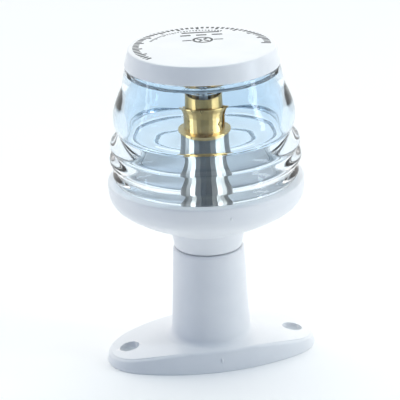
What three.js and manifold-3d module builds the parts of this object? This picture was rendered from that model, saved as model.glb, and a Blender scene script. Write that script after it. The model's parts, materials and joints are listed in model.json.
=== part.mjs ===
// All-round navigation light: a ribbed clear lens under a white cap, on a bowl-shaped head, a short pedestal
// and an oval deck flange, with a bayonet lampholder and its lamp inside.
// Millimetres, +Z up, origin on the deck plane under the centre of the pedestal. The flange's long axis is X.
import * as THREE from "three";
import { mergeVertices } from "three/addons/utils/BufferGeometryUtils.js";
import Module from "manifold-3d";

const wasm = await Module();
wasm.setup();

// ---------------------------------------------------------------- driving dimensions
const WIDE = 40; // sides of a large round part
const SMALL = 28; // sides of a small round part
const TINY = 16; // sides of a pin, screw or wire

const FLANGE = { length: 88.4, width: 47.4, endRadius: 17.4, middle: 8.8, end: 4.2, draft: 1.7, skin: 2.6 };
const SCREW_HOLE = { spacing: 70, radius: 2.2, sinkRadius: 4.1, sinkFloor: 1.7, boss: 6 };
const COLUMN = { footRadius: 16.3, topRadius: 14.55, top: 47.3, bore: 12, web: 5.4 };
const SPIGOT = { radius: 11.2, top: 51.4, grooveLow: 48.5, grooveHigh: 50.4, grooveRadius: 10.1 };
const NECK = { radius: 13.9, bottom: 47.8, inner: 11.7, top: 55.4, floorLow: 56.2, floor: 59 };
const RIM = { radius: 40, top: 77.4, bore: 35.9, ledge: 71.5 };
const NIPPLE = { radius: 4.9, bore: 3.6, bottom: 37, top: 64 };
const TUBE = { radius: 9.95, inner: 9.05, bottom: 59.05, top: 94.9, plate: 1.5 };
const CORE = { radius: 8.8, low: 9.8, high: 20.6, bore: 2.65, sinkRadius: 3.1 };
const SHELL = { inner: 7.85, outer: 8.45, bottom: 91.1, mouth: 102.6, top: 107.8, flare: 1.5 };
const SHELL_FLANGE = { radius: 10.9, thickness: 0.8 };
const LAMP_SEAT = 99.7; // height of the lamp's pins when it is locked in
const LAMP_TURN = -53; // degrees from +X to one of its pins
const PIN = { radius: 1, tip: 8.7 };
const TWIST = { degrees: 20, press: 2, slotHalfWidth: 1.25 };
const LENS = { bottom: 72.1, seat: 77.5, spigot: 35.3, shoulder: 124.7, collar: 28.6, collarTop: 128.6 };
const CAP = { radius: 31.2, bottom: 124.9, inner: 29, top: 132.3, crown: 132.9 };
const CAP_SHOULDER = { radius: 29.7, height: 131.2 };
const GAP = 0.05; // between flat faces that rest on each other

// ---------------------------------------------------------------- materials
const plastic = (color, roughness) => new THREE.MeshStandardMaterial({ color, roughness, metalness: 0 });
const metal = (color, roughness) => new THREE.MeshStandardMaterial({ color, roughness, metalness: 1 });
const WHITE = plastic(0xf1f2f4, 0.38);
const clear = (color, roughness, opacity) =>
  new THREE.MeshStandardMaterial({ color, roughness, metalness: 0, transparent: true, opacity });
const CLEAR = clear(0xc4e0f5, 0.05, 0.35);
const BULB_GLASS = clear(0xf4f8fa, 0.02, 0.3);
const NICKEL = metal(0xc9c8c0, 0.16);
const BRASS = metal(0xc2a05a, 0.24);
const ZINC = metal(0xb4b7bb, 0.4);
const TUNGSTEN = metal(0x6f7074, 0.5);
const SOLDER = metal(0xaeb1b4, 0.45);
const RUBBER = plastic(0x6e7173, 0.7);
const BAKELITE = plastic(0x4a2a1c, 0.5);
const VITRITE = plastic(0x101418, 0.15);
const NYLON = plastic(0xe6e3d6, 0.55);
const RED_PVC = plastic(0xa5201c, 0.5);
const BLACK_PVC = plastic(0x1a1a1c, 0.5);

// ---------------------------------------------------------------- shape helpers
const rad = THREE.MathUtils.degToRad;
const at = (x, z) => new THREE.Vector2(x, z);

// Points of an arc about (x, z), from one angle to another in degrees.
function arc(x, z, radius, from, to, steps) {
  const points = [];
  for (let i = 0; i <= steps; i++) {
    const a = rad(from + ((to - from) * i) / steps);
    points.push([x + radius * Math.cos(a), z + radius * Math.sin(a)]);
  }
  return points;
}

// Points of a bulge between two points of an outline. Its rise is largest at a share of the way.
function bulge([x0, z0], [x1, z1], rise, share, steps) {
  const points = [];
  const power = Math.log(0.5) / Math.log(share);
  for (let i = 1; i < steps; i++) {
    const t = i / steps;
    points.push([x0 + (x1 - x0) * t + rise * Math.sin(Math.PI * t ** power), z0 + (z1 - z0) * t]);
  }
  return points;
}

// A solid of revolution about Z from [radius, z] points, given anticlockwise or clockwise.
function turned(outline, sides) {
  const points = outline.map(([r, z]) => at(r, z));
  const onAxis = points[0].x === 0 && points.at(-1).x === 0;
  if (!onAxis) points.push(points[0].clone());
  if (THREE.ShapeUtils.area(points) < 0) points.reverse();
  return new THREE.LatheGeometry(points, sides).rotateX(Math.PI / 2);
}

// A flat outline of [x, y] points raised along Z between two heights.
function raised(outline, low, high) {
  const shape = new THREE.Shape(outline.map(([x, y]) => at(x, y)));
  return new THREE.ExtrudeGeometry(shape, { depth: high - low, bevelEnabled: false }).translate(0, 0, low);
}

// A box between two opposite corners, given as limits along X, Y and Z in either order.
function box(x0, x1, y0, y1, z0, z1) {
  const shape = new THREE.BoxGeometry(Math.abs(x1 - x0), Math.abs(y1 - y0), Math.abs(z1 - z0));
  return shape.translate((x0 + x1) / 2, (y0 + y1) / 2, (z0 + z1) / 2);
}

const rod = (radius, low, high, sides) => turned([[0, low], [radius, low], [radius, high], [0, high]], sides);

// A round bar of one radius along a list of points.
function bar(points, radius, sides, steps) {
  const path = new THREE.CatmullRomCurve3(points.map((p) => new THREE.Vector3(...p)), false, "centripetal");
  const circle = arc(0, 0, radius, 0, 360 - 360 / sides, sides - 1);
  const section = new THREE.Shape(circle.map(([x, y]) => at(x, y)));
  return new THREE.ExtrudeGeometry(section, { steps, extrudePath: path, bevelEnabled: false });
}

const hexagon = (flats) => arc(0, 0, flats / 2 / Math.cos(Math.PI / 6), 0, 300, 5);
const ring = (centre, section, z, sides) => turned(arc(centre, z, section, 0, 315, 7), sides);

// A closed body between two matching rings of points, capped by triangles of their anticlockwise outline.
function closedStack(rings, outline) {
  const count = outline.length;
  const faces = [];
  for (const [a, b, c] of THREE.ShapeUtils.triangulateShape(outline.map(([x, y]) => at(x, y)), []))
    faces.push(a, c, b, a + count, b + count, c + count);
  for (let i = 0; i < count; i++) {
    const next = (i + 1) % count;
    faces.push(i, next, next + count, i, next + count, i + count);
  }
  const geometry = new THREE.BufferGeometry();
  geometry.setAttribute("position", new THREE.Float32BufferAttribute(rings.flat(2), 3));
  return geometry.setIndex(faces);
}

// ---------------------------------------------------------------- booleans
function solid(geometry) {
  const bare = geometry.clone();
  bare.deleteAttribute("normal");
  bare.deleteAttribute("uv");
  const merged = mergeVertices(bare, 1e-4);
  const mesh = new wasm.Mesh({
    numProp: 3,
    vertProperties: merged.attributes.position.array,
    triVerts: new Uint32Array(merged.index.array),
  });
  return new wasm.Manifold(mesh);
}

function geometryOf(manifold) {
  const mesh = manifold.getMesh();
  const geometry = new THREE.BufferGeometry();
  geometry.setAttribute("position", new THREE.BufferAttribute(mesh.vertProperties, 3));
  geometry.setIndex(new THREE.BufferAttribute(mesh.triVerts, 1));
  geometry.computeVertexNormals();
  return geometry;
}

const join = (first, ...rest) => rest.reduce((sum, g) => sum.add(solid(g)), first);
const cut = (first, ...rest) => rest.reduce((left, g) => left.subtract(solid(g)), first);

// A prism that points away from the Z axis, from an anticlockwise outline of [arc length at a radius, z].
function radialPrism(outline, atRadius, inner, outer) {
  const rings = [inner, outer].map((r) =>
    outline.map(([s, z]) => [r * Math.cos(s / atRadius), r * Math.sin(s / atRadius), z]),
  );
  return closedStack(rings, outline);
}

// ---------------------------------------------------------------- pedestal and flange, one moulding
// The flange's top falls from the pedestal to both ends. This is that arch, lowered by an amount.
function archedSlab(lower) {
  const end = FLANGE.length / 2;
  const shoulder = COLUMN.footRadius + 0.7;
  const span = end - shoulder;
  const rise = FLANGE.middle - FLANGE.end;
  const slope = (t) => FLANGE.middle - rise * (0.35 * t ** 2 + 0.65 * t);
  const top = [[end + 2, FLANGE.end - 1], [end, FLANGE.end - 0.3]];
  for (const t of [0.92, 0.75, 0.5, 0.25, 0.1]) top.push([shoulder + span * t, slope(t)]);
  top.push([shoulder - 2, FLANGE.middle]);
  const side = top.map(([x, z]) => [x, z - lower]);
  const mirrored = side.map(([x, z]) => [-x, z]).reverse();
  const outline = [[-end - 2, -2], [end + 2, -2], ...side, ...mirrored];
  return raised(outline, -FLANGE.width, FLANGE.width).rotateX(Math.PI / 2);
}

// The flange's plan, drawn in by a wall: an oval of two end arcs and two long side arcs.
function ovalPlan(wall) {
  const endX = FLANGE.length / 2 - FLANGE.endRadius;
  const bulk = FLANGE.width / 2 - FLANGE.endRadius;
  const sideY = (endX ** 2 - bulk ** 2) / (2 * bulk);
  const swing = THREE.MathUtils.radToDeg(Math.atan2(sideY, endX));
  const endRadius = FLANGE.endRadius - wall;
  const sideRadius = FLANGE.width / 2 + sideY - wall;
  return [
    ...arc(endX, 0, endRadius, -swing, swing, 14).slice(0, -1),
    ...arc(0, -sideY, sideRadius, swing, 180 - swing, 12).slice(0, -1),
    ...arc(-endX, 0, endRadius, 180 - swing, 180 + swing, 14).slice(0, -1),
    ...arc(0, sideY, sideRadius, 180 + swing, 360 - swing, 12).slice(0, -1),
  ];
}

// A block between two outlines with the same number of points, one at each height.
function between(lowOutline, highOutline, low, high) {
  const rings = [lowOutline.map(([x, y]) => [x, y, low]), highOutline.map(([x, y]) => [x, y, high])];
  return closedStack(rings, lowOutline);
}

const ovalBlock = (wall, draft, low, high) => between(ovalPlan(wall), ovalPlan(wall + draft), low, high);

function pedestal() {
  const { middle, draft, skin } = FLANGE;
  const flange = solid(ovalBlock(0, draft, 0, middle + 1)).intersect(solid(archedSlab(0)));
  const fillet = arc(COLUMN.footRadius + 2.4, middle + 2.2, 2.4, 270, 180, 3);
  const column = turned(
    [
      [0, 2],
      [COLUMN.footRadius + 2.4, 2],
      ...fillet,
      [COLUMN.topRadius, COLUMN.top - 0.8],
      [COLUMN.topRadius - 0.6, COLUMN.top],
      [SPIGOT.radius, COLUMN.top],
      [SPIGOT.radius, SPIGOT.grooveLow],
      [SPIGOT.grooveRadius, SPIGOT.grooveLow],
      [SPIGOT.grooveRadius, SPIGOT.grooveHigh],
      [SPIGOT.radius, SPIGOT.grooveHigh],
      [SPIGOT.radius, SPIGOT.top],
      [0, SPIGOT.top],
    ],
    WIDE,
  );
  // The flange is cored from below. That leaves a skin, a wall round the bore, ribs and a boss at each screw.
  const pocket = solid(ovalBlock(skin, draft, -1, middle + 1)).intersect(solid(archedSlab(skin)));
  const holes = [-1, 1].map((side) => (side * SCREW_HOLE.spacing) / 2);
  const ribs = [
    rod(COLUMN.bore + 2.6, -2, middle + 2, SMALL),
    box(-50, 50, -0.9, 0.9, -2, middle),
    ...[-22, 22].map((x) => box(x - 0.9, x + 0.9, -30, 30, -2, middle)),
    ...holes.map((x) => rod(SCREW_HOLE.boss, -2, middle, TINY).translate(x, 0, 0)),
  ];
  const depth = COLUMN.top - COLUMN.web;
  const bore = turned([[0, -1], [COLUMN.bore + 0.6, -1], [COLUMN.bore, depth], [0, depth]], WIDE);
  const wellFloor = COLUMN.top + 0.7;
  const well = turned(
    [[0, depth - 1], [5.2, depth - 1], [5.2, wellFloor], [8.4, wellFloor], [8.4, 53], [0, 53]],
    SMALL,
  );
  const { radius, sinkRadius, sinkFloor } = SCREW_HOLE;
  const sinkTop = sinkFloor + sinkRadius - radius;
  const sink = [[0, -1], [radius, -1], [radius, sinkFloor], [sinkRadius, sinkTop], [sinkRadius, 9], [0, 9]];
  // Two pairs of guides in the bore hold the terminal block.
  const guides = [-1, 1].flatMap((x) => [-1, 1].map((y) => box(7 * x, 12.3 * x, 4.8 * y, 5.8 * y, 14, 36)));
  const shell = cut(join(flange, column).subtract(cut(pocket, ...ribs)), bore, well);
  return join(cut(shell, ...holes.map((x) => turned(sink, 20).translate(x, 0, 0))), ...guides);
}

// ---------------------------------------------------------------- head
function housing() {
  const { radius, top, bore, ledge } = RIM;
  return turned(
    [
      [NECK.radius, NECK.bottom],
      [NECK.radius + 1.4, NECK.top],
      [16.5, 56.1],
      [21.6, 58.4],
      [29.4, 62.2],
      [35.2, 65.7],
      [38, 68.1],
      [39.3, 70.6],
      [39.8, 73.2],
      [radius, top - 1.1],
      [radius - 0.4, top - 0.3],
      [radius - 1.2, top],
      [bore, top],
      [bore, ledge],
      [33.2, ledge],
      [33.2, 69.2],
      [28.2, 64.6],
      [20.6, 60.4],
      [16.6, NECK.floor],
      [5.3, NECK.floor],
      [5.3, NECK.floorLow],
      [NECK.inner, NECK.floorLow],
      [NECK.inner, NECK.bottom],
    ],
    WIDE,
  );
}

// Outside of the lens from its seat up: three overhanging ribs, the deep belt and the plain collar.
const RIB_STARTS = [[36.4, 77.8], [36.4, 82], [36.9, 89.9], [34.5, 97.4], [32.5, 116.6]];
const RIB_RISES = [[1.35, 0.5], [2.15, 0.55], [2.4, 0.42], [2.9, 0.4]];

function lens() {
  const ribs = RIB_RISES.flatMap(([rise, share], i) => {
    const steps = i === 3 ? 9 : 4;
    return [RIB_STARTS[i], ...bulge(RIB_STARTS[i], RIB_STARTS[i + 1], rise, share, steps)];
  });
  return turned(
    [
      [32.6, LENS.bottom],
      [LENS.spigot, LENS.bottom],
      [LENS.spigot, 73.6],
      [33.9, 73.6],
      [33.9, 76.2],
      [LENS.spigot, 76.2],
      [LENS.spigot, LENS.seat],
      [36.4, LENS.seat],
      ...ribs,
      [32.5, 116.6],
      [31, LENS.shoulder],
      [LENS.collar, LENS.shoulder],
      [LENS.collar, 125.9],
      [27.6, 125.9],
      [27.6, 127.7],
      [LENS.collar, 127.7],
      [LENS.collar, LENS.collarTop],
      [26.4, LENS.collarTop],
      [26.4, 122.2],
      [28.4, 121.2],
      [29.2, 118.2],
      [31.3, 112.8],
      [32.5, 107.8],
      [32.6, 103.4],
      [32, 98.6],
      [32, 95],
    ],
    WIDE,
  );
}

function cap() {
  const { radius, bottom, inner, top, crown } = CAP;
  const shoulder = CAP_SHOULDER.radius;
  return turned(
    [
      [0, crown],
      [14, crown - 0.15],
      [25, top + 0.1],
      [shoulder - 1.3, top],
      [shoulder - 0.4, top - 0.4],
      [shoulder, CAP_SHOULDER.height],
      [radius, bottom + 0.4],
      [radius - 0.4, bottom],
      [inner, bottom],
      [inner, 129],
      [27.4, 130.4],
      [0, 130.8],
    ],
    WIDE,
  );
}

// ---------------------------------------------------------------- lampholder
function tube() {
  const { radius, inner, bottom, top, plate } = TUBE;
  const hole = 5.05;
  const floor = bottom + plate;
  return turned(
    [
      [hole, bottom],
      [radius, bottom],
      [radius, top],
      [inner, top],
      [inner, floor],
      [hole, floor],
    ],
    SMALL,
  );
}

// The parts below are drawn with their heights above or below the locked pins, at LAMP_SEAT.
const fromSeat = (outline) => outline.map(([r, z]) => [r, z + LAMP_SEAT]);

function core() {
  const { radius, low, high, bore, sinkRadius } = CORE;
  return turned(
    fromSeat([
      [1.1, -high + 1.1],
      [radius, -high + 1.1],
      [radius, -low + 1.1],
      [sinkRadius, -low + 1.1],
      [sinkRadius, -10.6],
      [bore, -10.6],
      [bore, -17.3],
      [1.1, -17.3],
    ]),
    SMALL,
  );
}

// The slot that a lamp pin follows. It runs straight down from the shell's rim, then turns and rises to the seat.
function bayonetSlot(radius) {
  const half = TWIST.slotHalfWidth;
  const across = rad(TWIST.degrees) * radius;
  const low = LAMP_SEAT - TWIST.press;
  const slope = Math.atan2(-TWIST.press, across);
  const [nx, nz] = [-Math.sin(slope) * half, Math.cos(slope) * half];
  const roofMeets = LAMP_SEAT + nz + (across - half - nx) * Math.tan(slope);
  const outline = [
    [across - half, SHELL.top + 2],
    [across - half, roofMeets],
    [nx, LAMP_SEAT + nz],
    [-half * 0.25, LAMP_SEAT + half * 0.97],
    [-half, LAMP_SEAT],
    [-nx, LAMP_SEAT - nz],
    [across - nx, low - nz],
    [across, low - half],
    [across + half * 0.7, low - half * 0.7],
    [across + half, low],
    [across + half, SHELL.top + 2],
  ];
  return radialPrism(outline, radius, SHELL.inner - 1.5, SHELL.outer + 3);
}

function shell() {
  const { inner, outer, bottom, mouth, top, flare } = SHELL;
  const ledge = TUBE.top + 0.1;
  const body = turned(
    [
      [inner, bottom],
      [outer, bottom],
      [outer, ledge],
      [SHELL_FLANGE.radius, ledge],
      [SHELL_FLANGE.radius, ledge + SHELL_FLANGE.thickness],
      [outer, ledge + SHELL_FLANGE.thickness + 0.2],
      [outer, mouth],
      [outer + flare * 0.35, mouth + 2.4],
      [outer + flare, top - 0.6],
      [outer + flare, top],
      [outer + flare - 0.6, top],
      [inner + flare * 0.35, mouth + 2.4],
      [inner, mouth],
    ],
    32,
  );
  const slot = bayonetSlot((inner + outer) / 2).rotateZ(rad(LAMP_TURN));
  return cut(solid(body), slot, slot.clone().rotateZ(Math.PI));
}

function plunger() {
  const outline = [[0, -14.1], [1.3, -14.1], [1.3, -8.2], [2.6, -8.2], [2.6, -7.6], [1.8, -7.2], [0, -7.2]];
  return turned(fromSeat(outline), TINY);
}

function spring() {
  const turns = 6;
  const [low, high, radius, wire] = [LAMP_SEAT - 16.1, LAMP_SEAT - 8.6, 2, 0.3];
  const points = [];
  for (let i = 0; i <= turns * 9; i++) {
    const angle = (i / 9) * 2 * Math.PI;
    points.push([radius * Math.cos(angle), radius * Math.sin(angle), low + ((high - low) * i) / (turns * 9)]);
  }
  return bar(points, wire, 6, turns * 12);
}

function eyelet() {
  const outline = [[0, -21.9], [0.9, -21.9], [0.9, -17.25], [2.4, -17.25], [2.4, -16.5], [0, -16.5]];
  return turned(fromSeat(outline), TINY);
}

// ---------------------------------------------------------------- fixings of the head
const pipe = (inner, outer, low, high, sides) =>
  turned([[inner, low], [outer, low], [outer, high], [inner, high]], sides);
const nut = (flats, low, high) =>
  cut(solid(raised(hexagon(flats), low, high)), rod(5, low - 1, high + 1, SMALL));

function earthTag() {
  const [low, high] = [60.6, 61.2];
  const ear = box(6, 8.6, -1.2, 1.2, low, high);
  return cut(join(solid(pipe(5.15, 7, low, high, SMALL)), ear), rod(5.15, 60, 62, SMALL));
}

// ---------------------------------------------------------------- wiring inside the pedestal
const BLOCK = { halfX: 8, halfY: 4.5, low: 17, high: 31, pole: 3.8 };
const SCREW_LEVELS = [20.5, 27.5];

function terminalBlock() {
  const { halfX, halfY, low, high, pole } = BLOCK;
  const body = solid(box(-halfX, halfX, -halfY, halfY, low, high));
  const drilled = [-pole, pole].flatMap((x) => [
    rod(2.1, low - 1, high + 1, TINY).translate(x, 0, 0),
    ...SCREW_LEVELS.map((z) => rod(1.7, 0, 6, TINY).rotateX(-Math.PI / 2).translate(x, 0, z)),
  ]);
  const waists = [-1, 1].map((side) => box(-1, 1, 6 * side, 2.6 * side, low - 1, high + 1));
  return cut(body, ...drilled, ...waists);
}

const clampTube = () => pipe(1.35, 1.95, BLOCK.low + 1, BLOCK.high - 1, TINY);

function clampScrew() {
  const slotted = solid(rod(1.4, 2.1, 4.4, TINY));
  return cut(slotted, box(-2, 2, -0.25, 0.25, 3.8, 5));
}

const LIVE_PATH = [
  [0, 0, 77.5],
  [-0.2, 0, 74],
  [-1.4, 0, 66],
  [-1.5, 0, 48],
  [-1.6, 0, 37],
  [-3.4, 0, 33.6],
  [-3.8, 0, 31],
];
const RETURN_PATH = [
  [7.7, 0, 61.3],
  [7.7, 0, 64],
  [6, 0, 66.4],
  [3.2, 0, 65.8],
  [1.7, 0, 62.5],
  [1.5, 0, 48],
  [1.6, 0, 37],
  [3.4, 0, 33.6],
  [3.8, 0, 31],
];

// ---------------------------------------------------------------- lamp
function lampBase() {
  const outline = [[4.6, -5.6], [7.1, -5.6], [7.5, -5.2], [7.5, 12.8], [7.1, 12.8], [7.1, -5], [4.6, -5.2]];
  const sleeve = solid(turned(fromSeat(outline), SMALL));
  const pin = rod(PIN.radius, 7.2, PIN.tip, TINY).rotateY(Math.PI / 2);
  const pins = [0, 180].map((turn) => pin.clone().rotateZ(rad(LAMP_TURN + turn)).translate(0, 0, LAMP_SEAT));
  return join(sleeve, ...pins);
}

function lampInsulator() {
  const outline = [[0, -6.35], [3.2, -6.3], [4.4, -5.8], [4.4, -4.9], [6.6, -4.6], [6.6, -3.5], [0, -3.5]];
  return turned(fromSeat(outline), TINY);
}

const lampContact = () => turned(fromSeat([[0, -7], [1.4, -6.9], [2.2, -6.4], [0, -6.4]]), TINY);

function lampGlass() {
  const skin = (radius, neck) => fromSeat([[neck, 7], [neck, 12.6], ...arc(0, 18.6, radius, -35, 90, 9)]);
  const outer = skin(8.4, 6.8);
  const inner = skin(7.8, 6.2).reverse();
  outer.at(-1)[0] = 0;
  inner[0][0] = 0;
  return turned([...inner, ...outer], 24);
}

function filament() {
  const stemOutline = [[0, 4], [5.7, 4], [5.7, 4.8], [2.2, 7], [1.6, 13], [0, 13]];
  const stem = solid(turned(fromSeat(stemOutline), TINY));
  const coil = rod(0.55, -4, 4, 8).rotateX(Math.PI / 2).translate(0, 0, LAMP_SEAT + 19);
  const post = [[1, 12], [1.2, 14], [3.3, 17], [3.6, 19.1]];
  const posts = [-1, 1].map((side) => bar(post.map(([y, z]) => [0, side * y, LAMP_SEAT + z]), 0.3, 6, 8));
  return join(stem, coil, ...posts);
}

// ---------------------------------------------------------------- assembly
const light = new THREE.Group();

function add(name, shape, material) {
  const geometry = shape.isBufferGeometry ? shape : geometryOf(shape);
  const mesh = new THREE.Mesh(geometry, material);
  mesh.name = name;
  light.add(mesh);
  return mesh;
}

add("base_pedestal", pedestal(), WHITE);
add("head_housing", housing(), WHITE);
add("neck_seal", ring(10.8, 0.55, (SPIGOT.grooveLow + SPIGOT.grooveHigh) / 2, SMALL), RUBBER);

const webUnderside = COLUMN.top - COLUMN.web;
const nutTop = webUnderside - 0.9;
add("nipple", pipe(NIPPLE.bore, NIPPLE.radius, NIPPLE.bottom, NIPPLE.top, SMALL), ZINC);
add("nipple_nut", nut(14, nutTop - 3.5, nutTop), ZINC);
add("nipple_washer", pipe(5.2, 9, nutTop + GAP, webUnderside - GAP, SMALL), ZINC);
add("tube_nut", nut(13, 61.25, 63.6).rotate([0, 0, 30]), ZINC);
add("earth_tag", earthTag(), BRASS);

add("holder_tube", tube(), NICKEL);
add("holder_core", core(), BAKELITE);
add("bayonet_shell", shell(), BRASS);
add("contact_plunger", plunger(), BRASS);
add("contact_spring", spring(), ZINC);
add("contact_eyelet", eyelet(), BRASS);

add("wire_live", bar(LIVE_PATH, 0.9, 8, 26), RED_PVC);
add("wire_return", bar(RETURN_PATH, 0.9, 8, 32), BLACK_PVC);
add("terminal_block", terminalBlock(), NYLON);
for (const [side, x] of [["left", -BLOCK.pole], ["right", BLOCK.pole]]) {
  add(`clamp_tube_${side}`, clampTube(), BRASS).position.x = x;
  SCREW_LEVELS.forEach((z, level) => {
    const screw = add(`clamp_screw_${side}_${level + 1}`, clampScrew(), ZINC);
    screw.position.set(x, 0, z);
    screw.rotation.x = -Math.PI / 2;
  });
}

add("lamp_base", lampBase(), BRASS);
add("lamp_insulator", lampInsulator(), VITRITE);
add("lamp_contact", lampContact(), SOLDER);
add("lamp_glass", lampGlass(), BULB_GLASS);
add("lamp_filament", filament(), TUNGSTEN);

add("lens", lens(), CLEAR);
add("lens_seal", ring(34.95, 0.75, 74.9, WIDE), RUBBER);
add("top_cap", cap(), WHITE);
add("cap_seal", ring(28.3, 0.55, 126.8, WIDE), RUBBER);

export default light;
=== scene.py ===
"""All-round navigation light: finishes, fine outer pieces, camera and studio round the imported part.

Lengths in the outlines are millimetres in the part's own frame, and MM turns them into metres.
"""

import json
import math

import bmesh
import bpy
from mathutils import Matrix, Vector


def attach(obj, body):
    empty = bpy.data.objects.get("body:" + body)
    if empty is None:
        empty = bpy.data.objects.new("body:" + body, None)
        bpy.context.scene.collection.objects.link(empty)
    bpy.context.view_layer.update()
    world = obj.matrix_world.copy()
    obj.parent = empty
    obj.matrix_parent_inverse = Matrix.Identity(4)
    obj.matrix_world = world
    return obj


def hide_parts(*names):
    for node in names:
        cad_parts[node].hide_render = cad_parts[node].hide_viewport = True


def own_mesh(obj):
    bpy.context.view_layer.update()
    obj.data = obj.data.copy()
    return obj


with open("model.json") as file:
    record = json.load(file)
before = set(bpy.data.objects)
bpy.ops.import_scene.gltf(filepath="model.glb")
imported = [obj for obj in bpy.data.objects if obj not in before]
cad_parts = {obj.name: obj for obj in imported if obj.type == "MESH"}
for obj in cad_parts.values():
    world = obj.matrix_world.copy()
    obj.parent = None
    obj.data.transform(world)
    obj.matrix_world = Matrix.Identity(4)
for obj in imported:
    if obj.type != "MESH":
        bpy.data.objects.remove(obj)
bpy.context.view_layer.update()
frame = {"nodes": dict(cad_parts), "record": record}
NODES = frame["nodes"]
MM = 0.001


# ---------------------------------------------------------------- node helpers
def node(tree, kind, **settings):
    """A shader node with properties by name and inputs by 'in_Name'."""
    made = tree.nodes.new(kind)
    for key, value in settings.items():
        if key.startswith("in_"):
            made.inputs[key[3:].replace("_", " ")].default_value = value
        else:
            setattr(made, key, value)
    return made


def noise(tree, vector, scale, detail=3.0, roughness=0.5):
    made = node(tree, "ShaderNodeTexNoise", in_Scale=scale, in_Detail=detail, in_Roughness=roughness)
    tree.links.new(vector, made.inputs["Vector"])
    return made.outputs["Fac"]


def spread(tree, value, low, high, start=0.3, end=0.7):
    """A value between start and end, spread over low to high."""
    made = node(tree, "ShaderNodeMapRange", clamp=True)
    for name, number in (("From Min", start), ("From Max", end), ("To Min", low), ("To Max", high)):
        made.inputs[name].default_value = number
    tree.links.new(value, made.inputs["Value"])
    return made.outputs["Result"]


def ramp(tree, value, stops):
    made = node(tree, "ShaderNodeValToRGB")
    elements = made.color_ramp.elements
    while len(elements) < len(stops):
        elements.new(0.5)
    for element, (place, colour) in zip(elements, stops):
        element.position = place
        element.color = (*colour, 1.0)
    tree.links.new(value, made.inputs["Fac"])
    return made.outputs["Color"]


def stretched(tree, scale):
    """Object coordinates stretched by a scale in each direction."""
    coordinates = node(tree, "ShaderNodeTexCoord").outputs["Object"]
    made = node(tree, "ShaderNodeMapping")
    made.inputs["Scale"].default_value = scale
    tree.links.new(coordinates, made.inputs["Vector"])
    return made.outputs["Vector"]


def bump(tree, height, strength, distance):
    made = node(tree, "ShaderNodeBump", in_Strength=strength, in_Distance=distance)
    tree.links.new(height, made.inputs["Height"])
    return made.outputs["Normal"]


def height_share(tree, low, high):
    """0 below one height in metres, 1 above another."""
    split = node(tree, "ShaderNodeSeparateXYZ")
    tree.links.new(node(tree, "ShaderNodeTexCoord").outputs["Object"], split.inputs["Vector"])
    return spread(tree, split.outputs["Z"], 0.0, 1.0, low, high)


def mixed(tree, share, colour, other):
    """A colour that turns into a fixed one as a share goes from 0 to 1."""
    mix = node(tree, "ShaderNodeMix", data_type="RGBA")
    tree.links.new(share, mix.inputs["Factor"])
    tree.links.new(colour, mix.inputs["A"])
    mix.inputs["B"].default_value = (*other, 1.0)
    return mix.outputs["Result"]


def finish_of(name, colours, rough, tone_scale, grain, stretch=(1, 1, 1), painted_edge_highlight=None, above=None, **sockets):
    """A material whose tone, roughness and grain vary over the surface.

    colours and rough are the limits of its tone and roughness, and grain is the scale, strength and depth
    of its bump. painted_edge_highlight is a lighter colour painted on outer edges as a highlight, with
    the two edge values between which it comes in.
    above is a second colour, with the two heights in metres between which it takes over.
    """
    material = bpy.data.materials.new(name)
    material.use_nodes = True
    tree = material.node_tree
    shader = tree.nodes["Principled BSDF"]
    vector = stretched(tree, stretch)
    tone = noise(tree, vector, tone_scale, 4.0, 0.55)
    colour = ramp(tree, tone, [(0.3, colours[0]), (0.7, colours[1])])
    if above:
        other, low, high = above
        colour = mixed(tree, height_share(tree, low, high), colour, other)
    # Outer edges are painted a lighter colour: a painted highlight.
    if painted_edge_highlight:
        other, low, high = painted_edge_highlight
        edge = node(tree, "ShaderNodeNewGeometry").outputs["Pointiness"]
        colour = mixed(tree, spread(tree, edge, 0.0, 1.0, low, high), colour, other)
    tree.links.new(colour, shader.inputs["Base Color"])
    patch = noise(tree, vector, tone_scale * 3.1, 5.0, 0.6)
    tree.links.new(spread(tree, patch, *rough), shader.inputs["Roughness"])
    scale, strength, distance = grain
    tree.links.new(bump(tree, noise(tree, vector, scale, 2.0), strength, distance), shader.inputs["Normal"])
    for key, value in sockets.items():
        shader.inputs[key.replace("_", " ")].default_value = value
    return material


def lamp_light_through(material, tint):
    """Lets light from lamps reach what is behind clear plastic or glass."""
    tree = material.node_tree
    shader, output = tree.nodes["Principled BSDF"], tree.nodes["Material Output"]
    clear = node(tree, "ShaderNodeBsdfTransparent")
    clear.inputs["Color"].default_value = (*tint, 1.0)
    mix = node(tree, "ShaderNodeMixShader")
    tree.links.new(node(tree, "ShaderNodeLightPath").outputs["Is Shadow Ray"], mix.inputs["Fac"])
    tree.links.new(shader.outputs["BSDF"], mix.inputs[1])
    tree.links.new(clear.outputs["BSDF"], mix.inputs[2])
    tree.links.new(mix.outputs["Shader"], output.inputs["Surface"])


# ---------------------------------------------------------------- finishes
# The white plastic's outer edges are painted lighter, as a painted highlight.
WHITE = finish_of(
    "white_abs", [(0.775, 0.80, 0.83), (0.84, 0.86, 0.88)], (0.30, 0.42), 38.0, (1400.0, 0.10, 0.00003),
    painted_edge_highlight=((0.93, 0.93, 0.93), 0.53, 0.60), IOR=1.53,
)
# The ribs below the belt are painted a lighter, near-clear tint that brightens the shaded inside seen
# through them: painted light. The belt keeps the lens's blue tint.
LENS = finish_of(
    "clear_polycarbonate", [(0.87, 0.935, 0.975), (0.91, 0.955, 0.985)], (0.0, 0.03), 30.0,
    (70.0, 0.05, 0.0002), above=((0.74, 0.86, 0.96), 0.084, 0.101), Transmission_Weight=1.0, IOR=1.34,
)
BULB = finish_of(
    "bulb_glass", [(0.96, 0.97, 0.97), (0.99, 0.99, 0.99)], (0.0, 0.02), 60.0, (160.0, 0.05, 0.0001),
    Transmission_Weight=1.0, IOR=1.5,
)
lamp_light_through(LENS, (0.97, 0.99, 1.0))
lamp_light_through(BULB, (0.98, 0.98, 0.98))

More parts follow.
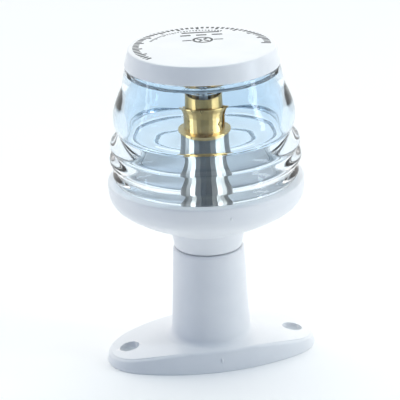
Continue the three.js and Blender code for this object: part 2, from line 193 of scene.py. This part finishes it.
# Turned metal has its fine lines around the piece, so it spreads light up and down.
NICKEL = finish_of(
    "bright_nickel", [(0.29, 0.29, 0.28), (0.38, 0.38, 0.37)], (0.46, 0.54), 90.0, (1500.0, 0.12, 0.00002),
    stretch=(1, 1, 0.15), Metallic=1.0, Anisotropic=1.0, Anisotropic_Rotation=0.25,
)
BRASS = finish_of(
    "bright_brass", [(0.38, 0.25, 0.09), (0.66, 0.47, 0.21)], (0.26, 0.34), 120.0, (1500.0, 0.12, 0.00002),
    stretch=(1, 1, 0.3), Metallic=1.0, Anisotropic=0.9, Anisotropic_Rotation=0.25,
)
ZINC = finish_of(
    "zinc_plate", [(0.46, 0.47, 0.48), (0.60, 0.61, 0.62)], (0.28, 0.46), 160.0, (1800.0, 0.2, 0.00003),
    Metallic=1.0,
)
SOLDER = finish_of(
    "solder", [(0.42, 0.43, 0.44), (0.56, 0.57, 0.58)], (0.3, 0.5), 260.0, (1200.0, 0.4, 0.00005),
    Metallic=1.0,
)
# The pale glass stem up to the top of the base, and dark tungsten wires above it.
TUNGSTEN = finish_of(
    "stem_and_tungsten", [(0.78, 0.80, 0.80), (0.88, 0.89, 0.89)], (0.10, 0.25), 200.0,
    (2500.0, 0.2, 0.00002), above=((0.30, 0.30, 0.31), 0.1127, 0.1129),
)
RUBBER = finish_of(
    "grey_rubber", [(0.46, 0.47, 0.48), (0.58, 0.59, 0.60)], (0.55, 0.75), 120.0, (1600.0, 0.3, 0.00005),
)
BAKELITE = finish_of(
    "phenolic", [(0.06, 0.022, 0.012), (0.11, 0.045, 0.024)], (0.35, 0.55), 150.0, (1300.0, 0.2, 0.00004),
)
VITRITE = finish_of(
    "vitrite", [(0.008, 0.010, 0.012), (0.02, 0.024, 0.028)], (0.05, 0.2), 200.0, (600.0, 0.1, 0.00004),
)
NYLON = finish_of(
    "nylon", [(0.72, 0.70, 0.62), (0.80, 0.78, 0.70)], (0.42, 0.58), 110.0, (1400.0, 0.15, 0.00003),
)
RED_PVC = finish_of(
    "red_pvc", [(0.36, 0.018, 0.014), (0.46, 0.03, 0.022)], (0.38, 0.52), 130.0, (1400.0, 0.1, 0.00003),
)
BLACK_PVC = finish_of(
    "black_pvc", [(0.012, 0.012, 0.013), (0.03, 0.03, 0.032)], (0.38, 0.52), 130.0, (1400.0, 0.1, 0.00003),
)
INK = finish_of(
    "grey_ink", [(0.02, 0.028, 0.032), (0.05, 0.062, 0.068)], (0.5, 0.7), 500.0, (2500.0, 0.3, 0.00002),
)

BY_SLOT = {
    "white_plastic": WHITE,
    "clear_lens": LENS,
    "bulb_glass": BULB,
    "nickel": NICKEL,
    "brass": BRASS,
    "zinc_steel": ZINC,
    "tungsten": TUNGSTEN,
    "solder": SOLDER,
    "rubber": RUBBER,
    "bakelite": BAKELITE,
    "vitrite": VITRITE,
    "nylon": NYLON,
    "red_pvc": RED_PVC,
    "black_pvc": BLACK_PVC,
}


def shade(mesh, degrees=32.0):
    """Smooth shading that breaks at edges sharper than an angle."""
    mesh.polygons.foreach_set("use_smooth", [True] * len(mesh.polygons))
    mesh.set_sharp_from_angle(angle=math.radians(degrees))


def refinish_frame():
    for part in frame["record"]["subparts"]:
        kept = NODES[part["node"]]
        kept.data.materials.clear()
        kept.data.materials.append(BY_SLOT[part["material_slot"]])
        shade(kept.data)


refinish_frame()


# ---------------------------------------------------------------- mesh helpers
PLASTIC_EDGE = 38.0  # the mouldings' faces look smooth up to this angle in degrees


def to_object(name, mesh, material):
    made = bpy.data.objects.new(name, mesh)
    bpy.context.scene.collection.objects.link(made)
    if material:
        mesh.materials.append(material)
    return made


def softened(corners, steps=4):
    """An outline from corners of radius, height and cut, the reach of a soft corner to each side."""
    points = []
    count = len(corners)
    for i, (r, z, cut) in enumerate(corners):
        here = Vector((r, z))
        if not cut:
            points.append((r, z))
            continue
        before = Vector(corners[i - 1][:2])
        after = Vector(corners[(i + 1) % count][:2])
        start = here + (before - here).normalized() * cut
        end = here + (after - here).normalized() * cut
        for k in range(steps + 1):
            t = k / steps
            point = start * (1 - t) ** 2 + here * 2 * t * (1 - t) + end * t ** 2
            points.append((point.x, point.y))
    return points


def bulge(start, end, rise, share, steps):
    """Corners of a bulge between two points of an outline, highest at a share of the way."""
    power = math.log(0.5) / math.log(share)
    points = []
    for i in range(1, steps):
        t = i / steps
        r = start[0] + (end[0] - start[0]) * t + rise * math.sin(math.pi * t ** power)
        points.append((r, start[1] + (end[1] - start[1]) * t, 0))
    return points


def curve_through(points, steps):
    """Corners along a smooth curve through points of an outline, ends included."""
    dense = []
    ends = [points[0], *points, points[-1]]
    for i in range(1, len(ends) - 2):
        p0, p1, p2, p3 = (Vector(p) for p in ends[i - 1 : i + 3])
        slope = p2 - p0
        square = 2 * p0 - 5 * p1 + 4 * p2 - p3
        cube = 3 * p1 - p0 - 3 * p2 + p3
        for k in range(steps):
            t = k / steps
            point = 0.5 * (2 * p1 + slope * t + square * t ** 2 + cube * t ** 3)
            dense.append((point.x, point.y, 0))
    dense.append((*points[-1], 0))
    return dense


def to_mesh(shape, name):
    """The mesh of a closed bmesh shape, with its faces turned outward."""
    bmesh.ops.recalc_face_normals(shape, faces=shape.faces)
    mesh = bpy.data.meshes.new(name)
    shape.to_mesh(mesh)
    shape.free()
    return mesh


ON_AXIS = 1e-6  # a smaller radius is on the axis


def turned(name, outline, sides, material, sharp=32.0):
    """A solid of revolution about Z. The outline closes on itself, or starts and ends on the axis."""
    shape = bmesh.new()
    rings = []
    for r, z in outline:
        if r < ON_AXIS:
            rings.append([shape.verts.new((0, 0, z * MM))] * sides)
            continue
        turn = (2 * math.pi * k / sides for k in range(sides))
        rings.append([shape.verts.new((r * MM * math.cos(a), r * MM * math.sin(a), z * MM)) for a in turn])
    pairs = list(zip(rings, rings[1:]))
    if outline[0][0] >= ON_AXIS:
        pairs.append((rings[-1], rings[0]))
    for low, high in pairs:
        for k in range(sides):
            corners = [low[k], low[(k + 1) % sides], high[(k + 1) % sides], high[k]]
            unique = list(dict.fromkeys(corners))
            if len(unique) > 2:
                shape.faces.new(unique)
    mesh = to_mesh(shape, name)
    shade(mesh, sharp)
    return to_object(name, mesh, material)


def block(name, low, high):
    """A box between two corners, for cutting or joining."""
    shape = bmesh.new()
    bmesh.ops.create_cube(shape, size=1.0)
    size = Vector(high) - Vector(low)
    middle = (Vector(high) + Vector(low)) / 2
    for vertex in shape.verts:
        vertex.co = vertex.co * size * MM + middle * MM
    return to_object(name, to_mesh(shape, name), None)


def carve(target, tools, operation="DIFFERENCE"):
    """Cuts tools out of target, or joins them to it, for good. The tools are removed."""
    for tool in tools:
        step = target.modifiers.new("carve", "BOOLEAN")
        step.operation = operation
        step.solver = "EXACT"
        step.object = tool
    view = bpy.context.evaluated_depsgraph_get()
    result = bpy.data.meshes.new_from_object(target.evaluated_get(view))
    target.modifiers.clear()
    target.data = result
    for tool in tools:
        bpy.data.objects.remove(tool)
    return target


# ---------------------------------------------------------------- lens
# Outlines are points of radius and height, and a third number is the cut of a soft corner.
# The outside has three overhanging ribs and then the deep belt, each from one start to the next.
RIB_STARTS = [(36.4, 77.8), (36.4, 82.0), (36.9, 89.9), (34.5, 97.4), (32.5, 116.6)]
RIB_RISES = [(1.35, 0.5), (2.15, 0.55), (2.4, 0.42), (2.9, 0.4)]
RIB_STEPS = [14, 14, 14, 26]

# Spigot that stands in the head, with the groove of its seal.
LENS_SPIGOT = [
    (32.6, 72.1, 0.3), (35.3, 72.1, 0.3),
    (35.3, 73.6, 0.2), (33.9, 73.6, 0.2), (33.9, 76.2, 0.2), (35.3, 76.2, 0.2),
    (35.3, 77.5, 0.2), (36.4, 77.5, 0.1),
]
# Collar under the cap, with the groove of the cap's seal.
LENS_COLLAR = [
    (32.5, 116.6, 0.5), (31.0, 124.7, 0.2), (28.6, 124.7, 0),
    (28.6, 125.9, 0), (27.6, 125.9, 0), (27.6, 127.7, 0), (28.6, 127.7, 0),
    (28.6, 128.6, 0), (26.4, 128.6, 0), (26.4, 122.2, 0.6),
]
LENS_INSIDE = [
    (28.4, 121.2), (29.2, 118.2), (31.3, 112.8), (32.5, 107.8), (32.6, 103.4), (32.0, 98.6), (32.0, 95.0),
]


def lens_outline():
    ribs = []
    for start, end, (rise, share), steps in zip(RIB_STARTS, RIB_STARTS[1:], RIB_RISES, RIB_STEPS):
        ribs.append((*start, 0.25))
        ribs += bulge(start, end, rise, share, steps)
    return softened([*LENS_SPIGOT, *ribs, *LENS_COLLAR, *curve_through(LENS_INSIDE, 6)], 3)


lens = turned("lens_moulding", lens_outline(), 192, LENS, 40.0)
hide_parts("lens")
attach(lens, "lens_unit")


# ---------------------------------------------------------------- cap and its marking
# The top is slightly crowned, from its middle to its soft edge.
CAP_TOP = [(0.0, 132.85), (8.0, 132.8), (16.0, 132.68), (23.0, 132.48), (28.2, 132.2)]
CAP_SKIRT = [(29.55, 132.12, 0.55), (29.75, 131.2, 0.3), (31.2, 125.1, 0.25), (31.0, 124.9, 0.1)]
CAP_INSIDE = [(29.0, 124.9, 0.2), (29.0, 129.0, 0.4), (27.4, 130.4, 0.3), (0.0, 130.8, 0)]

cap_outline = softened([*[(r, z, 0) for r, z in CAP_TOP], *CAP_SKIRT, *CAP_INSIDE])
cap = turned("cap_moulding", cap_outline, 160, WHITE, PLASTIC_EDGE)
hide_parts("top_cap")
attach(cap, "lens_unit")


def cap_height(radius):
    for (r0, z0), (r1, z1) in zip(CAP_TOP, CAP_TOP[1:]):
        if radius <= r1:
            return z0 + (z1 - z0) * (radius - r0) / (r1 - r0)
    return CAP_TOP[-1][1]


INK_THICKNESS = 0.03
# A scale is its inner and outer radius, first and last angle, pitch in degrees and the ticks' share of it.
OUTER_SCALE = (23.7, 27.6, -12, 208, 4.6, 0.56)
INNER_SCALE = (20.6, 22.2, 55, 150, 3.4, 0.5)
PRINT_TURN = -8
PRINT_MIDDLE = Vector((1.0, 0.0))
BAR_PLACE, BAR_HALF = 18.0, 7.6
DASH_PLACE, DASH_PITCH, DASH_HALF = 13.8, 6.4, 2.1
LINE_WIDTH = 1.5
SIGN_PLACE, SIGN_RADIUS, SIGN_WIDTH, LEAD_END = 6.2, 4.2, 1.0, 8.2


def ink_strip(shape, left, right):
    """A thin strip of print on the cap's top between two lines of (x, y) points."""
    sections = []
    for pair in zip(left, right):
        section = []
        for x, y in pair:
            low = cap_height(math.hypot(x, y))
            for z in (low, low + INK_THICKNESS):
                section.append(shape.verts.new((x * MM, y * MM, z * MM)))
        sections.append(section)
    for a, b in zip(sections, sections[1:]):
        for i, j in ((0, 1), (1, 3), (3, 2), (2, 0)):
            shape.faces.new((a[i], a[j], b[j], b[i]))
    for end in (sections[0], sections[-1]):
        shape.faces.new((end[0], end[1], end[3], end[2]))


def arc_points(centre, radius, start, end, steps):
    """Points of an arc between two angles in degrees."""
    angles = [math.radians(start + (end - start) * k / steps) for k in range(steps + 1)]
    return [(centre[0] + radius * math.cos(a), centre[1] + radius * math.sin(a)) for a in angles]


def printed_line(shape, start, end, width, steps=8):
    """A straight printed line of a width between two points."""
    start, end = Vector(start), Vector(end)
    side = (end - start).orthogonal().normalized() * width / 2
    places = [start.lerp(end, k / steps) for k in range(steps + 1)]
    ink_strip(shape, [tuple(p + side) for p in places], [tuple(p - side) for p in places])


def scale_ticks(shape, inner, outer, first, last, pitch, share):
    """A row of tick marks from one angle to another. A tick covers a share of the pitch.

    Every fourth tick is full length, and the others are shorter.
    """
    for k in range(int((last - first) / pitch) + 1):
        start = first + pitch * k
        end = start + pitch * share
        foot = inner if k % 4 == 0 else inner + (outer - inner) * 0.35
        ink_strip(shape, arc_points((0, 0), foot, start, end, 1), arc_points((0, 0), outer, start, end, 1))


def lamp_sign(shape, centre, radius, width, along):
    """The circuit sign of a lamp: a cross in a circle, with a lead on each side."""
    seam = 2
    for half in (0, 180):
        turn = (half + seam, half + 180 - seam)
        inner = arc_points(centre, radius - width, *turn, 20)
        ink_strip(shape, inner, arc_points(centre, radius, *turn, 20))
    for turn in (45, 135):
        angle = math.radians(turn)
        direction = Vector((math.cos(angle), math.sin(angle)))
        arm = direction * (radius - width * 1.4)
        gap = direction * width * 0.7
        printed_line(shape, centre - arm, centre - gap, width, 3)
        printed_line(shape, centre + gap, centre + arm, width, 3)
    for side in (-1, 1):
        lead = along * side
        printed_line(shape, centre + lead * (radius + 0.3), centre + lead * LEAD_END, width)


def printed_marking():
    """Generic print: two rows of scale ticks, the direct-current sign and the circuit sign of a lamp."""
    shape = bmesh.new()
    for scale in (OUTER_SCALE, INNER_SCALE):
        scale_ticks(shape, *scale)
    turn = math.radians(PRINT_TURN)
    along = Vector((math.cos(turn), math.sin(turn)))
    across = Vector((-along.y, along.x))
    bar = PRINT_MIDDLE + across * BAR_PLACE
    printed_line(shape, bar - along * BAR_HALF, bar + along * BAR_HALF, LINE_WIDTH)
    for place in (-DASH_PITCH, 0.0, DASH_PITCH):
        dash = PRINT_MIDDLE + across * DASH_PLACE + along * place
        printed_line(shape, dash - along * DASH_HALF, dash + along * DASH_HALF, LINE_WIDTH)
    lamp_sign(shape, PRINT_MIDDLE + across * SIGN_PLACE, SIGN_RADIUS, SIGN_WIDTH, along)
    return to_object("cap_marking", to_mesh(shape, "cap_marking"), INK)


marking = printed_marking()
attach(marking, "lens_unit")


# ---------------------------------------------------------------- head housing
def gate_mark(place, size):
    """A small rounded pip where a moulding was filled."""
    shape = bmesh.new()
    bmesh.ops.create_uvsphere(shape, u_segments=20, v_segments=12, radius=1.0)
    for vertex in shape.verts:
        vertex.co = Vector([(c * s + p) * MM for c, s, p in zip(vertex.co, size, place)])
    return to_object("gate", to_mesh(shape, "gate"), None)


BOWL = [
    (15.35, 55.6), (17.6, 56.75), (21.6, 58.4), (29.4, 62.2), (35.2, 65.7), (38.0, 68.1), (39.3, 70.6),
    (39.8, 73.2), (40.0, 76.0),
]
# Rim, seat of the lens and inner bowl, down to the hole of the stem.
BOWL_INSIDE = [
    (39.95, 77.4, 0.7), (35.9, 77.4, 0.35), (35.9, 71.5, 0.2), (33.2, 71.5, 0.2), (33.2, 69.2, 0.6),
    (28.2, 64.6, 1.5), (20.6, 60.4, 1.2), (16.6, 59.0, 0.8), (5.3, 59.0, 0), (5.3, 56.2, 0),
]
# The head's own neck has a step that stands in the pedestal, and a socket round the pedestal's spigot.
NECK_START = [(13.9, 48.0, 0.2)]
NECK_SOCKET = [(11.7, 56.2, 0.4), (11.7, 47.8, 0), (13.75, 47.8, 0.1)]

housing_outline = softened([*NECK_START, *curve_through(BOWL, 7), *BOWL_INSIDE, *NECK_SOCKET])
housing = turned("housing_moulding", housing_outline, 192, WHITE, PLASTIC_EDGE)
carve(housing, [gate_mark((0.9, -39.6, 73.0), (0.55, 0.38, 1.0))], "UNION")
shade(housing.data, PLASTIC_EDGE)
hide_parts("head_housing")
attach(housing, "pedestal")


# ---------------------------------------------------------------- pedestal and flange
# The flange's outline is four arcs: a small one at each end and a wide one along each side.
HALF_LENGTH, HALF_WIDTH, END_RADIUS = 44.2, 23.7, 17.4
END_X = HALF_LENGTH - END_RADIUS
SIDE_Y = (END_X ** 2 - (HALF_WIDTH - END_RADIUS) ** 2) / (2 * (HALF_WIDTH - END_RADIUS))
SWING = math.atan2(SIDE_Y, END_X)
FLANGE_TOP, FLANGE_END = 8.8, 4.2
DRAFT, SOFT_EDGE, SKIN, FOOT_CUT = 0.17, 1.1, 2.6, 0.25

# The column tapers from its fillet on the flange to the neck.
COLUMN_FOOT, FILLET = 16.3, 2.6
NECK_RADIUS, NECK_TOP = 14.7, 45.2
TAPER_SHARES = (0.25, 0.5, 0.75)
NECK = [(NECK_RADIUS, NECK_TOP), (14.64, 46.3), (14.5, 46.85), (14.2, 47.2), (13.8, 47.3)]
# Seat of the neck's seal with its groove, then the web with the stem's hole, and the open inside.
PEDESTAL_INSIDE = [
    (11.2, 47.3), (11.2, 48.5), (10.1, 48.5), (10.1, 50.4), (11.2, 50.4), (11.2, 51.2), (11.0, 51.4),
    (8.4, 51.4), (8.4, 48.0), (5.2, 48.0), (5.2, 41.9), (12.0, 41.9), (12.6, 0.0),
]

HOLE_X = 35  # screw holes and their bosses, on both sides
SCREW_SINK = [(0, -1), (2.2, -1), (2.2, 1.7), (4.1, 3.6), (4.2, 12), (0, 12)]
BOSS = [(0, -2), (6, -2), (6, 9), (0, 9)]
CROSS_RIB_X, HALF_RIB = 22, 0.9
RECESS_START = 14.6
GUIDE_X, GUIDE_Y, GUIDE_Z = (7, 12.4), (4.8, 5.8), (14, 36)


def reach(angle, wall):
    """Distance from the axis to the flange's outline, drawn in by a wall, in a direction."""
    x, y = abs(math.cos(angle)), abs(math.sin(angle))
    end = END_RADIUS - wall
    joint = math.atan2(end * math.sin(SWING), END_X + end * math.cos(SWING))
    if math.atan2(y, x) < joint:
        along = END_X * x
        return along + math.sqrt(along ** 2 - END_X ** 2 + end ** 2)
    side = HALF_WIDTH + SIDE_Y - wall
    along = -SIDE_Y * y
    return along + math.sqrt(along ** 2 - SIDE_Y ** 2 + side ** 2)


def arch(x):
    """Height of the flange's top, which falls from the pedestal to both ends."""
    start, span = COLUMN_FOOT - 2.0, HALF_LENGTH - COLUMN_FOOT + 2.0
    t = max(0.0, min(1.0, (abs(x) - start) / span))
    return FLANGE_TOP - (FLANGE_TOP - FLANGE_END + 0.3) * (0.45 * t ** 2 + 0.55 * t)


def polar_rings(name, rings, sides, material):
    """A closed skin of rings. Each ring is a function from an angle to (radius, height)."""
    shape = bmesh.new()
    loops = []
    for ring in rings:
        loop = []
        for k in range(sides):
            angle = 2 * math.pi * k / sides
            r, z = ring(angle)
            loop.append(shape.verts.new((r * math.cos(angle) * MM, r * math.sin(angle) * MM, z * MM)))
        loops.append(loop)
    for low, high in zip(loops, loops[1:] + [loops[0]]):
        for k in range(sides):
            shape.faces.new((low[k], low[(k + 1) % sides], high[(k + 1) % sides], high[k]))
    return to_object(name, to_mesh(shape, name), material)


def level(r, z):
    """A round, flat ring."""
    return lambda angle: (r, z)


def wall_ring(drop, inset):
    """A ring of the flange's side wall, a drop below its top edge."""
    def ring(angle):
        height = arch(reach(angle, 0) * math.cos(angle)) - drop
        return reach(angle, DRAFT * height + inset), height
    return ring


def top_ring(share):
    """A ring of the flange's top, a share of the way from its edge to the column's fillet."""
    def ring(angle):
        edge = arch(reach(angle, 0) * math.cos(angle))
        outer = reach(angle, DRAFT * edge + SOFT_EDGE)
        r = outer + (COLUMN_FOOT + FILLET - outer) * share
        return r, arch(r * math.cos(angle))
    return ring


def flange_rings():
    """Rings from the foot of the flange, over its soft edge and top, up to the column's fillet."""
    rings = [lambda angle: (reach(angle, FOOT_CUT), 0.0), lambda angle: (reach(angle, 0.02), FOOT_CUT)]
    rings.append(wall_ring(SOFT_EDGE + 2.0, 0.0))
    for k in range(6):
        turn = math.radians(15 * k)
        rings.append(wall_ring(SOFT_EDGE * (1 - math.sin(turn)), SOFT_EDGE * (1 - math.cos(turn))))
    rings += [top_ring(k / 18) for k in range(19)]
    for k in range(1, 7):
        turn = math.radians(15 * k)
        r = COLUMN_FOOT + FILLET * (1 - math.sin(turn))
        rings.append(level(r, FLANGE_TOP + FILLET * (1 - math.cos(turn))))
    return rings


def column_rings():
    """Rings of the tapering column between its fillet and the neck."""
    low = FLANGE_TOP + FILLET
    rings = []
    for t in TAPER_SHARES:
        rings.append(level(COLUMN_FOOT + (NECK_RADIUS - COLUMN_FOOT) * t, low + (NECK_TOP - low) * t))
    return rings


def placed_at(x, made):
    """A tool moved along the flange."""
    made.data.transform(Matrix.Translation((x * MM, 0, 0)))
    return made


def recess():
    """The hollow under the flange, without the ribs and the screw bosses that stand in it."""
    def ceiling(share):
        def ring(angle):
            outer = reach(angle, SKIN + 0.6)
            r = RECESS_START + (outer - RECESS_START) * share
            edge = reach(angle, SKIN) if share == 1 else r
            return r, arch(edge * math.cos(angle)) - SKIN
        return ring

    rings = [level(RECESS_START, -1.0), lambda angle: (reach(angle, SKIN), -1.0), ceiling(1), ceiling(0.5)]
    rings.append(level(RECESS_START, FLANGE_TOP - SKIN - 0.2))
    hollow = polar_rings("recess", rings, 96, None)
    ribs = [block("rib", (-50, -HALF_RIB, -2), (50, HALF_RIB, 9))]
    for side in (-1, 1):
        x = side * CROSS_RIB_X
        ribs.append(block("rib", (x - HALF_RIB, -30, -2), (x + HALF_RIB, 30, 9)))
    ribs += [placed_at(side * HOLE_X, turned("boss", BOSS, 40, None)) for side in (-1, 1)]
    return carve(hollow, ribs)


def terminal_guides():
    """Four ribs inside the column that hold the terminal block."""
    guides = []
    for across in (-1, 1):
        for along in (-1, 1):
            x = sorted(across * edge for edge in GUIDE_X)
            y = sorted(along * edge for edge in GUIDE_Y)
            guides.append(block("guide", (x[0], y[0], GUIDE_Z[0]), (x[1], y[1], GUIDE_Z[1])))
    return guides


def pedestal_piece():
    rings = flange_rings() + column_rings() + [level(r, z) for r, z in NECK + PEDESTAL_INSIDE]
    body = polar_rings("pedestal_moulding", rings, 192, WHITE)
    sinks = [placed_at(side * HOLE_X, turned("sink", SCREW_SINK, 48, None)) for side in (-1, 1)]
    carve(body, [recess(), *sinks])
    carve(body, [*terminal_guides(), gate_mark((-0.8, -22.95, 4.6), (0.45, 0.36, 1.3))], "UNION")
    shade(body.data, PLASTIC_EDGE)
    return body


pedestal = pedestal_piece()
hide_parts("base_pedestal")
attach(pedestal, "pedestal")


# ---------------------------------------------------------------- contact spring
SPRING_LOW, SPRING_HIGH, SPRING_RADIUS, WIRE_RADIUS, SPRING_TURNS = 83.6, 91.1, 2.0, 0.3, 6


def coil_spring():
    """The coil under the lamp's contact."""
    shape = bmesh.new()
    steps, sides = SPRING_TURNS * 24, 10
    rings = []
    for k in range(steps + 1):
        turn = 2 * math.pi * SPRING_TURNS * k / steps
        height = SPRING_LOW + (SPRING_HIGH - SPRING_LOW) * k / steps
        outward = Vector((math.cos(turn), math.sin(turn), 0.0))
        ring = []
        for j in range(sides):
            around = 2 * math.pi * j / sides
            place = outward * (SPRING_RADIUS + WIRE_RADIUS * math.cos(around))
            place.z = height + WIRE_RADIUS * math.sin(around)
            ring.append(shape.verts.new(place * MM))
        rings.append(ring)
    for low, high in zip(rings, rings[1:]):
        for j in range(sides):
            shape.faces.new((low[j], low[(j + 1) % sides], high[(j + 1) % sides], high[j]))
    shape.faces.new(rings[0])
    shape.faces.new(rings[-1])
    mesh = to_mesh(shape, "contact_spring_coil")
    shade(mesh, 50.0)
    return to_object("contact_spring_coil", mesh, ZINC)


spring = coil_spring()
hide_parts("contact_spring")
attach(spring, "pedestal")
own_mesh(spring)


# ---------------------------------------------------------------- camera
AZIMUTH, ELEVATION, ROLL = -12.3, 20.8, 1.95
DISTANCE, FOCAL, SENSOR = 0.8197, 180.0, 36.0
AIM = Vector((0.0, 0.0, 0.060))
SHIFT = (-0.0187, 0.039)


def add_camera():
    az, el = math.radians(AZIMUTH), math.radians(ELEVATION)
    back = Vector((math.sin(az) * math.cos(el), -math.cos(az) * math.cos(el), math.sin(el)))
    right = Vector((math.cos(az), math.sin(az), 0.0))
    up = back.cross(right)
    turn = Matrix((right, up, back)).transposed() @ Matrix.Rotation(-math.radians(ROLL), 3, "Z")
    data = bpy.data.cameras.new("camera")
    data.lens, data.sensor_width = FOCAL, SENSOR
    data.shift_x, data.shift_y = SHIFT
    data.clip_start, data.clip_end = 0.05, 50.0
    made = bpy.data.objects.new("camera", data)
    made.matrix_world = Matrix.Translation(AIM + back * DISTANCE) @ turn.to_4x4()
    bpy.context.scene.collection.objects.link(made)
    bpy.context.scene.camera = made


add_camera()


# ---------------------------------------------------------------- studio
LENS_MIDDLE = (0, 0, 0.09)
LAMP_SEAT = (0, 0, 0.1)
NEUTRAL = (1.0, 1.0, 1.0)


def add_floor():
    shape = bmesh.new()
    bmesh.ops.create_grid(shape, x_segments=8, y_segments=8, size=6.0)
    mesh = bpy.data.meshes.new("floor")
    shape.to_mesh(mesh)
    shape.free()
    pale = [(0.955, 0.955, 0.955), (0.965, 0.965, 0.965)]
    material = finish_of("pale_floor", pale, (0.8, 0.95), 3.0, (300.0, 0.02, 0.00005))
    to_object("floor", mesh, material)


def add_area(name, place, aim, size, power, colour):
    """A soft light of a width and a height that faces a point."""
    data = bpy.data.lights.new(name, "AREA")
    data.shape = "RECTANGLE"
    data.size, data.size_y = size
    data.energy = power
    data.color = colour
    made = bpy.data.objects.new(name, data)
    made.location = place
    made.rotation_euler = (Vector(aim) - Vector(place)).to_track_quat("-Z", "Y").to_euler()
    bpy.context.scene.collection.objects.link(made)
    return made


def add_metal_sheen():
    """Two broad soft lights that fall on the bright metal only, one on each side of it."""
    metal = bpy.data.collections.new("bright_metal")
    for part in frame["record"]["subparts"]:
        if part["material_slot"] in ("nickel", "brass"):
            metal.objects.link(NODES[part["node"]])
    right = add_area("right_sheen", (1.03, -0.61, 0.50), LAMP_SEAT, (0.80, 1.3), 100.0, NEUTRAL)
    left = add_area("left_sheen", (-1.19, -0.127, 0.50), LAMP_SEAT, (0.50, 1.3), 70.0, NEUTRAL)
    for light in (right, left):
        light.light_linking.receiver_collection = metal


def lobe_share(tree, direction, toward, start, full):
    """0 to 1 as a direction comes nearer to a lobe's own, between two cosines."""
    dot = node(tree, "ShaderNodeVectorMath", operation="DOT_PRODUCT")
    dot.inputs[1].default_value = Vector(toward).normalized()
    tree.links.new(direction, dot.inputs[0])
    share = node(tree, "ShaderNodeMapRange", interpolation_type="SMOOTHSTEP", clamp=True)
    for name, number in (("From Min", start), ("From Max", full), ("To Min", 0.0), ("To Max", 1.0)):
        share.inputs[name].default_value = number
    tree.links.new(dot.outputs["Value"], share.inputs["Value"])
    return share.outputs["Result"]


def add_world(lobes):
    """A soft tent of light, the sum of lobes.

    A lobe is a direction, the cosines where it starts and where it is full, and a colour.
    """
    world = bpy.data.worlds.new("studio")
    world.use_nodes = True
    tree = world.node_tree
    direction = node(tree, "ShaderNodeTexCoord").outputs["Generated"]
    total = None
    for toward, start, full, colour in lobes:
        add = node(tree, "ShaderNodeVectorMath", operation="MULTIPLY_ADD")
        add.inputs[1].default_value = colour
        add.inputs[2].default_value = (0.0, 0.0, 0.0)
        tree.links.new(lobe_share(tree, direction, toward, start, full), add.inputs[0])
        if total is not None:
            tree.links.new(total, add.inputs[2])
        total = add.outputs["Vector"]
    tree.links.new(total, tree.nodes["Background"].inputs["Color"])
    bpy.context.scene.world = world


OVERHEAD = ((0.0, 0.0, 1.0), 0.5, 1.0, (0.98, 1.10, 1.10))
BEHIND = ((0.2, 0.95, 0.0), 0.0, 0.4, (1.37, 1.31, 1.27))
BLUE_FRONT_LEFT = ((-0.75, -0.65, 0.15), 0.4, 1.0, (0.0, 0.06, 0.24))

add_floor()
add_world([OVERHEAD, BEHIND, BLUE_FRONT_LEFT])
add_area("right_strip", (0.64, -0.33, 0.36), LENS_MIDDLE, (0.10, 0.77), 2.2, (0.92, 1.0, 1.10))
add_area("left_strip", (-0.714, 0.091, 0.36), LENS_MIDDLE, (0.05, 0.75), 0.65, (0.95, 1.0, 1.1))
add_metal_sheen()
bpy.context.scene.view_settings.view_transform = "Standard"
bpy.context.scene.view_settings.look = "None"
